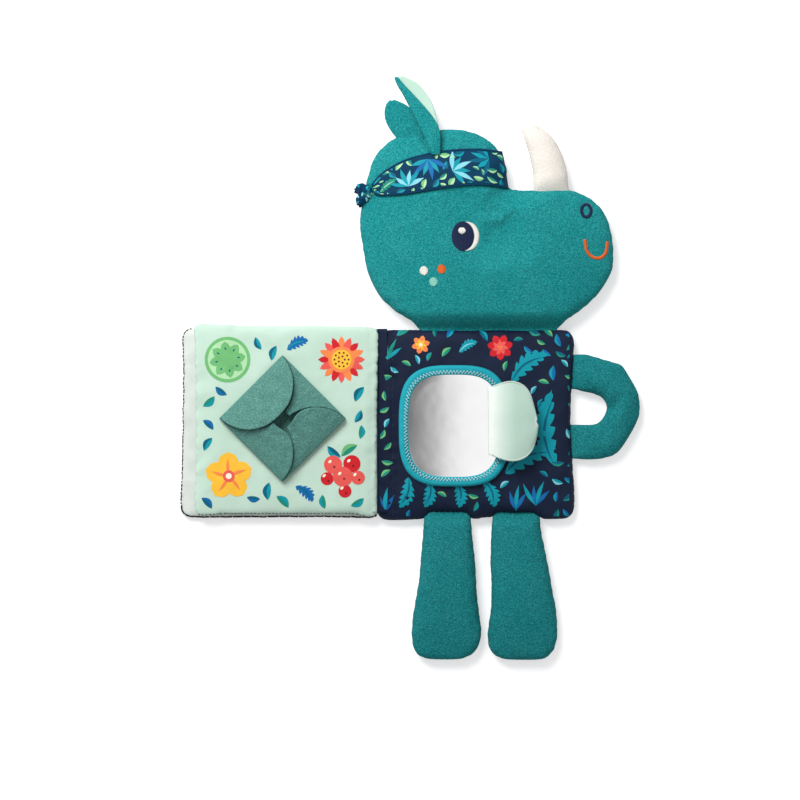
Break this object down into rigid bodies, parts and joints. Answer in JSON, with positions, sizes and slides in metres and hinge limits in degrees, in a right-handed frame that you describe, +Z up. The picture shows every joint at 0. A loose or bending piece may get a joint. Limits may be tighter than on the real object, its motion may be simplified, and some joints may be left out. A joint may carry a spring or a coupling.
{
  "type": "crinkle cloth book",
  "caption": "Open soft cloth book shaped as a stuffed rhinoceros, with a mirror under a flap, a felt petal pocket, a head with horn and ears, legs and a loop handle.",
  "frame": {"origin": "middle of the bounding box of the open book, on the surface that it lies on", "axes": "+X towards the loop handle, +Y from the feet to the head, +Z up out of the open pages"},
  "size_m": [0.3714, 0.4698, 0.0381],
  "materials": {
    "plush": "short-pile teal plush",
    "navy_cloth": "navy printed satin weave",
    "pale_cloth": "pale grey-white cloth with overlock stitches",
    "mint_cloth": "smooth mint printed cloth",
    "mirror_film": "soft silvered mirror film",
    "ring_binding": "folded teal binding with a zigzag stitch",
    "flap_cloth": "smooth pale mint cloth with an overcast edge",
    "felt": "mottled needle felt",
    "cream_plush": "cream velvet",
    "band_cloth": "navy printed cotton",
    "ear_lining": "mint cotton",
    "wadding": "white polyester fibre",
    "crinkle_film": "thin crackling film"
  },
  "bodies": {
    "page": {"page_front_panel": "navy_cloth", "page_back_panel": "plush", "page_wadding": "wadding", "page_crinkle_film": "crinkle_film", "gutter_binding": "navy_cloth", "mirror_sheet": "mirror_film", "mirror_binding": "ring_binding", "mirror_flap_root": "flap_cloth"},
    "flap": {"mirror_flap_lining": "flap_cloth", "mirror_flap_front": "flap_cloth"},
    "cover": {"cover_front_panel": "pale_cloth", "cover_back_panel": "plush", "cover_wadding": "wadding", "cover_crinkle_film": "crinkle_film"},
    "leaf": {"leaf_front_panel": "mint_cloth", "leaf_back_panel": "pale_cloth", "leaf_wadding": "wadding", "leaf_crinkle_film": "crinkle_film", "pocket_base": "felt"},
    "petal_north_west_body": {"petal_north_west": "felt"},
    "petal_south_west_body": {"petal_south_west": "felt"},
    "petal_south_east_body": {"petal_south_east": "felt"},
    "petal_north_east_body": {"petal_north_east": "felt"},
    "head": {"head_front_panel": "plush", "head_back_panel": "plush", "head_stuffing": "wadding", "horn": "cream_plush", "headband": "band_cloth", "headband_knot": "band_cloth"},
    "near_ear": {"near_ear_outer": "plush", "near_ear_lining": "ear_lining"},
    "far_ear": {"far_ear_outer": "plush", "far_ear_lining": "ear_lining"},
    "left_leg": {"left_leg_front_panel": "plush", "left_leg_back_panel": "plush", "left_leg_stuffing": "wadding"},
    "right_leg": {"right_leg_front_panel": "plush", "right_leg_back_panel": "plush", "right_leg_stuffing": "wadding"},
    "handle": {"handle_front_panel": "plush", "handle_back_panel": "plush", "handle_stuffing": "wadding"}
  },
  "joints": [
    {"name": "cover_turn", "type": "hinge", "parent": "page", "child": "cover", "pos_m": [-0.02685, -0.04416, 0.0145], "axis": [0, 1, 0], "range_deg": [0, 150]},
    {"name": "leaf_turn", "type": "hinge", "parent": "cover", "child": "leaf", "pos_m": [-0.02685, -0.04416, 0.0145], "axis": [0, -1, 0], "range_deg": [-155, 0]},
    {"name": "petal_north_west_turn", "type": "hinge", "parent": "leaf", "child": "petal_north_west_body", "pos_m": [-0.12898, -0.01402, 0.01735], "axis": [-0.7071, -0.7071, 0], "range_deg": [0, 170]},
    {"name": "petal_south_west_turn", "type": "hinge", "parent": "leaf", "child": "petal_south_west_body", "pos_m": [-0.12898, -0.06529, 0.01735], "axis": [0.7071, -0.7071, 0], "range_deg": [0, 170]},
    {"name": "petal_south_east_turn", "type": "hinge", "parent": "leaf", "child": "petal_south_east_body", "pos_m": [-0.07772, -0.06529, 0.01735], "axis": [0.7071, 0.7071, 0], "range_deg": [0, 170]},
    {"name": "petal_north_east_turn", "type": "hinge", "parent": "leaf", "child": "petal_north_east_body", "pos_m": [-0.07772, -0.01402, 0.01735], "axis": [-0.7071, 0.7071, 0], "range_deg": [0, 170]},
    {"name": "flap_turn", "type": "hinge", "parent": "page", "child": "flap", "pos_m": [0.06485, -0.04176, 0.0202], "axis": [0, -1, 0], "range_deg": [-16, 150]},
    {"name": "head_fold", "type": "hinge", "parent": "page", "child": "head", "pos_m": [0.05962, 0.03314, 0.016], "axis": [1, 0, 0], "range_deg": [0, 60]},
    {"name": "near_ear_fold", "type": "hinge", "parent": "head", "child": "near_ear", "pos_m": [0.01815, 0.18184, 0.02286], "axis": [0.8746, 0.4848, 0], "range_deg": [0, 70]},
    {"name": "far_ear_fold", "type": "hinge", "parent": "head", "child": "far_ear", "pos_m": [-0.00936, 0.17904, 0.0142], "axis": [0.9135, 0.4067, 0], "range_deg": [0, 60]},
    {"name": "left_leg_fold", "type": "hinge", "parent": "page", "child": "left_leg", "pos_m": [0.02965, -0.12146, 0.016], "axis": [-1, 0, 0], "range_deg": [0, 80]},
    {"name": "right_leg_fold", "type": "hinge", "parent": "page", "child": "right_leg", "pos_m": [0.08515, -0.12146, 0.016], "axis": [-1, 0, 0], "range_deg": [0, 80]},
    {"name": "handle_fold", "type": "hinge", "parent": "page", "child": "handle", "pos_m": [0.13345, -0.02996, 0.016], "axis": [0, -1, 0], "range_deg": [0, 90]}
  ]
}
